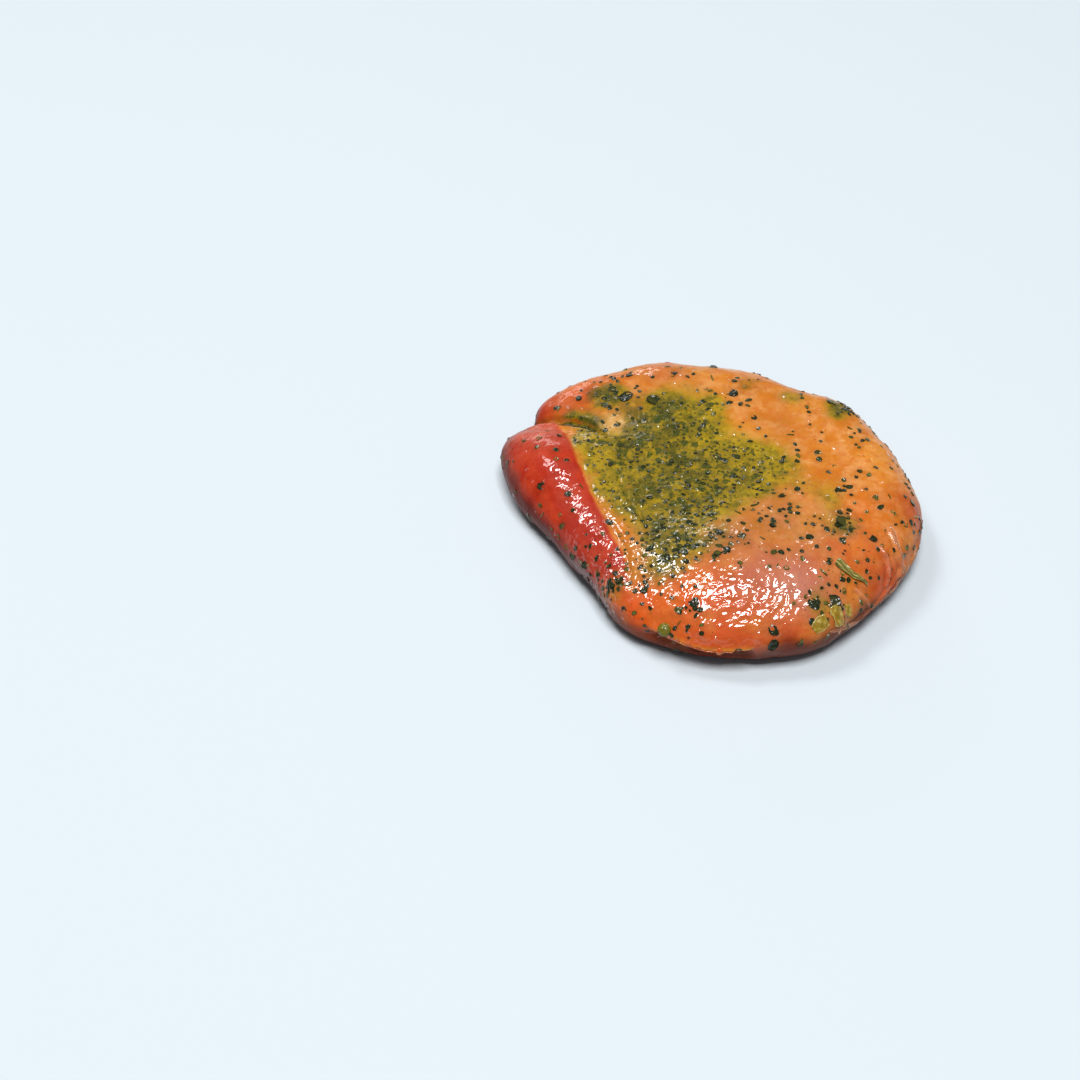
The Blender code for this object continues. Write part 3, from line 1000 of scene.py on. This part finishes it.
def strip(name, corners, width, lift, thickness, material, ripple):
    """A sheet along a line on the meat. width(u) and lift(u, v) are in mm, u and v from 0 to 1."""
    line = smooth_line(corners, 6)
    only()
    bpy.ops.mesh.primitive_grid_add(x_subdivisions=30, y_subdivisions=6, size=1.0)
    piece = bpy.context.active_object
    piece.name = name
    grid = points_of(piece) * MM + 0.5
    wave = rough(grid * 10.0, 2.2, 2, seed=len(name))
    moved = []
    for (u, v, _), roll in zip(grid, wave):
        here = u * (len(line) - 1)
        step = min(int(here), len(line) - 2)
        middle = line[step] + (line[step + 1] - line[step]) * (here - step)
        spot, normal = on_skin(middle)
        ahead = Vector((*(line[step + 1] - line[step]), 0.0)[:3])
        across = normal.cross(ahead).normalized()
        out = width(u) * (v - 0.5 + 0.15 * ripple * roll)
        spot, normal, _, _ = skin.find_nearest(spot + across * out)
        moved.append(spot + normal * (lift(u, v) + ripple * max(roll, -0.2)))
    move_points(piece, np.array(moved))
    paint(piece, "across", grid[:, 1])
    paint(piece, "along", grid[:, 0])
    finish_with(piece, "SOLIDIFY", thickness=thickness * MM, offset=0.0)
    finish_with(piece, "SUBSURF", levels=1, render_levels=1)
    only(piece)
    bpy.ops.object.shade_smooth()
    piece.data.materials.append(material)
    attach(piece, "root")
    print(name, "has", 2 * len(piece.data.polygons), "triangles")


# %% [markdown]
# Leek and onion are built of parallel fibres, pale between green ones, so their colour runs in
# thin lines along the strip. Silverskin is a milky film: mostly clear, so it is given some
# alpha, and whiter where it is folded double at its edges.

# %% Strip materials
def fibrous(name, pale, mid, dark, lines_across, see_through=1.0, pale_edge=0.0, one_edge=False):
    """A fibrous sheet: lines of three tones along it, and if asked paler at both edges or one."""
    material, tree, shader = new_material(
        name, Roughness=0.4, IOR=1.4, Specular_IOR_Level=0.15, Alpha=see_through,
        Subsurface_Weight=0.2, Subsurface_Scale=1.0 * MM,
        Coat_Weight=0.8, Coat_Roughness=0.06, Coat_IOR=1.5,
    )
    across = add(tree, "Attribute", {"attribute_name": "across"}).outputs["Fac"]
    along = add(tree, "Attribute", {"attribute_name": "along"}).outputs["Fac"]
    stretched = add(
        tree, "CombineXYZ", X=add(tree, "Math", TIMES, _0=across, _1=lines_across),
        Y=add(tree, "Math", TIMES, _0=along, _1=3.0),
    )
    fibre = add(tree, "TexNoise", Vector=stretched, Scale=1.0, Detail=2.0, Roughness=0.6)
    middling = add(tree, "MapRange", SMOOTH, Value=fibre, _1=0.35, _2=0.6)
    palest = add(tree, "MapRange", SMOOTH, Value=fibre, _1=0.52, _2=0.72)
    from_middle = add(tree, "Math", MINUS, _0=0.5, _1=across)
    if not one_edge:
        from_middle = add(tree, "Math", {"operation": "ABSOLUTE"}, _0=from_middle)
    rim = add(tree, "MapRange", SMOOTH, Value=from_middle, _1=0.36, _2=0.5, _4=pale_edge)
    tone = layer(tree, dark, mid, middling)
    tone = layer(tree, tone, pale, palest)
    tone = layer(tree, tone, pale, rim)
    bump = add(tree, "Bump", Strength=0.6, Distance=0.15 * MM, Height=fibre)
    connect(tree, shader, Base_Color=tone, Normal=bump, Coat_Normal=bump)
    return material


leek = fibrous("leek_leaf", "#cdb878", "#8a7c38", "#3c3e16", 4.0)
onion = fibrous("green_onion", "#dcc888", "#b89a34", "#947a20", 3.0, 0.55, 0.6)
silverskin = fibrous("silverskin", "#ecc8b0", "#d09068", "#c07a50", 1.5, 0.3, 0.8)
# The front skin's bright yellow edge is painted light, where its thin edge catches the light, on the skin's
# own orange.
front_skin = fibrous("oiled_front_skin", "#f0b030", "#c8520a", "#b84406", 4.0, 1.0, 1.0, True)
wet_leaf = fibrous("wet_leaf", "#4c5424", "#262e0e", "#10160a", 6.0)

# %% Lay the strips
strip(
    "leek_strip", [(31, -34.5), (34.5, -36.8), (37.5, -37.6), (39.5, -38.2)],
    lambda u: 1.5 + 0.9 * math.cos(2.6 * u) + 0.3 * math.sin(14.0 * u),
    lambda u, v: 0.15 + 1.2 * (v - 0.5) ** 2, 0.25, leek, 0.45,
)
strip(
    "onion_scrap_wide", [(23.8, -53, 11.8), (25.6, -51.4, 12.6), (27.4, -50, 12.8)],
    lambda u: 4.4 * math.sin(0.6 + 1.7 * u), lambda u, v: 0.15 + 0.3 * u * v, 0.22, onion, 0.35,
)
strip(
    "onion_scrap_folded", [(29.3, -46.5, 14.6), (30.4, -48, 12.6), (31.3, -50, 10.2)],
    lambda u: 1.2 + 2.6 * math.sin(0.7 + 2.0 * u),
    lambda u, v: 0.25 + 0.6 * math.sin(math.pi * v) * (1.0 - 0.5 * u), 0.22, onion, 0.5,
)
strip(
    "onion_scrap_small", [(32.8, -45, 13.2), (33.7, -46, 12), (34.4, -47, 10.8)],
    lambda u: 0.6 + 1.8 * math.sin(0.6 + 2.1 * u), lambda u, v: 0.2 + 0.3 * v, 0.2, onion, 0.3,
)
strip(
    "silverskin_fold_upper", [(47.5, -20, 17.5), (49.5, -26, 14.5), (51, -29, 10.5), (49, -32, 6)],
    lambda u: 0.2 + (1.3 + 0.5 * math.sin(11.0 * u)) * math.sin(math.pi * u) ** 0.5,
    lambda u, v: 0.12 + 0.4 * v**2, 0.12, silverskin, 0.2,
)
strip(
    "silverskin_fold_lower",
    [(28, -51.5, 10), (34.3, -47.5, 7.6), (40, -41.8, 5.6), (45, -37, 5.8), (49, -32, 6.5)],
    lambda u: 0.2 + (1.0 + 0.4 * math.sin(8.0 * u + 1.0)) * math.sin(math.pi * u) ** 0.5,
    lambda u, v: 0.1 + 0.3 * (1.0 - v) ** 2, 0.12, silverskin, 0.2,
)
strip(
    "silverskin_fold_front",
    [(31, -44.6, 14.8), (32.6, -46.6, 12.2), (32.9, -48.4, 9.4), (31, -50.2, 7.6)],
    lambda u: 0.2 + 0.5 * math.sin(math.pi * u) ** 0.5,
    lambda u, v: 0.15 + 0.3 * math.sin(math.pi * v), 0.12, silverskin, 0.15,
)
strip(
    "front_skin_edge",
    [
        (-15, -52.6, 9.6), (-11.6, -53.8, 8.5), (-8.8, -55, 8.0),
        (-5, -56, 7.7), (-1.5, -56.6, 8.0), (2.5, -56.9, 8.3),
    ],
    lambda u: 2.6 * math.sin(0.3 + 2.5 * u),
    lambda u, v: 0.05 + 0.75 * (1.0 - v) ** 2, 0.18, front_skin, 0.08,
)
strip(
    "leaf_in_cleft", [(-43, 27), (-39.5, 25.2), (-36, 23), (-32.5, 20.5)],
    lambda u: 2.3 * math.sin(0.4 + 2.3 * u),
    lambda u, v: 0.03 + 0.2 * (v - 0.5) ** 2, 0.12, wet_leaf, 0.1,
)

# %% [markdown]
# ## A green peppercorn and small rings
#
# One peppercorn from the marinade sits at the front left, half sunk in the oil. It is a ball,
# slightly flattened, with a dimple pressed into its top. Here and there a hollow stalk was cut
# across and lies as a tiny ring.

# %% The peppercorn
only()
bpy.ops.mesh.primitive_uv_sphere_add(segments=20, ring_count=12, radius=1.9 * MM)
peppercorn = bpy.context.active_object
peppercorn.name = "green_peppercorn"
edit_all()
roughen(0.06, 12)
ball = points_of(peppercorn)
dimple = bell(np.hypot(ball[:, 0], ball[:, 1] + 0.5), 0.7) * (ball[:, 2] > 0)
ball[:, 2] -= 0.5 * dimple
spot, normal = on_skin((-15.5, -51.5, 10.5))
turned = np.array(Vector((0.0, 0.0, 1.0)).rotation_difference(normal).to_matrix())
move_points(peppercorn, ball * (1.0, 1.0, 0.85) @ turned.T + np.array(spot + normal * 0.1))
finish_with(peppercorn, "SUBSURF", levels=1, render_levels=1)
only(peppercorn)
bpy.ops.object.shade_smooth()
paint(peppercorn, "shade", np.full(len(peppercorn.data.vertices), 0.6))
paint(peppercorn, "rim", np.zeros(len(peppercorn.data.vertices)))
peppercorn.data.materials.append(wet_herb("green_peppercorn", "#3e3e08", "#5e5a10", "#8c7a22"))
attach(peppercorn, "root")
print("peppercorn at", tuple(round(c, 1) for c in spot))

# %% Stalk rings and slivers
def ring_shape():
    """A slice of hollow stalk: a ring of eight by five faces, about 1 mm across."""
    only()
    bpy.ops.mesh.primitive_torus_add(
        major_segments=8, minor_segments=5, major_radius=0.36 * MM, minor_radius=0.14 * MM
    )
    return take_shape()


def sliver_shape():
    """A split bit of stalk: a thin six-sided rod, 1 mm long and drawn in at its ends."""
    only()
    bpy.ops.mesh.primitive_cylinder_add(
        vertices=6, radius=0.1 * MM, depth=0.6 * MM, rotation=(0, math.pi / 2, 0)
    )
    bpy.ops.object.transform_apply()
    for end in (-1.0, 1.0):
        edit_faces(bpy.context.active_object, lambda face: face.normal.x * end > 0.9)
        bpy.ops.mesh.extrude_region_move(TRANSFORM_OT_translate={"value": (0.2 * end * MM, 0.0, 0.0)})
        bpy.ops.transform.resize(value=(1.0, 0.5, 0.5))
        leave_edit()
    return take_shape()


chive = wet_herb("wet_cut_chives", "#2c320a", "#5a5a1a", "#948a44")
rings = sow(0.45 * sparse + 0.8 * pool_mask, (1.2, 1.9), 4.0)
slivers = sow(0.3 * sparse + 0.7 * thick, (1.6, 3.2), 4.0)
press_on("chive_rings", [ring_shape()], rings, chive, 0.7, 0.05)
press_on("chive_slivers", [sliver_shape()], slivers, chive, 1.0, -0.05)
